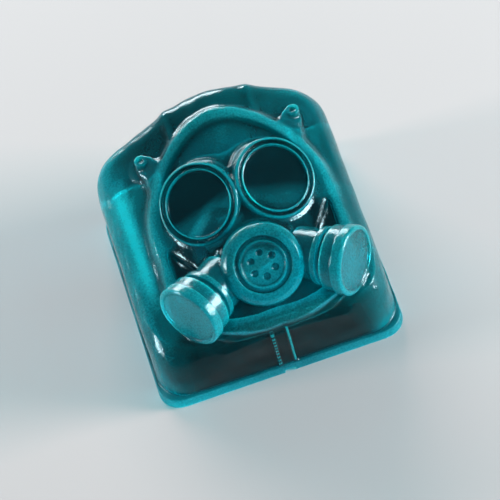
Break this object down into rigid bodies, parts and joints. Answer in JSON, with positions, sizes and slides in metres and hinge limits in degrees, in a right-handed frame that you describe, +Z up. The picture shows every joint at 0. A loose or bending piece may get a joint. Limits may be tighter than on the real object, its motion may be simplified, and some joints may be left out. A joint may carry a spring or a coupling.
{
  "type": "artisan keycap",
  "caption": "One-piece cast resin keycap, sculpted as a hooded head in a two-lens respirator with side filters, hollow underneath around a cross-socket post.",
  "frame": {"origin": "middle of the foot's rim plane, under the middle of the cap", "axes": "+X to the typist's right, +Y to the back of the keyboard, +Z up through the crown"},
  "size_m": [0.0182, 0.0182, 0.012],
  "materials": {
    "clear_teal_resin": "glossy cast resin, translucent teal, with a frosted sanded foot"
  },
  "bodies": {
    "root": {"keycap": "clear_teal_resin"}
  },
  "joints": []
}
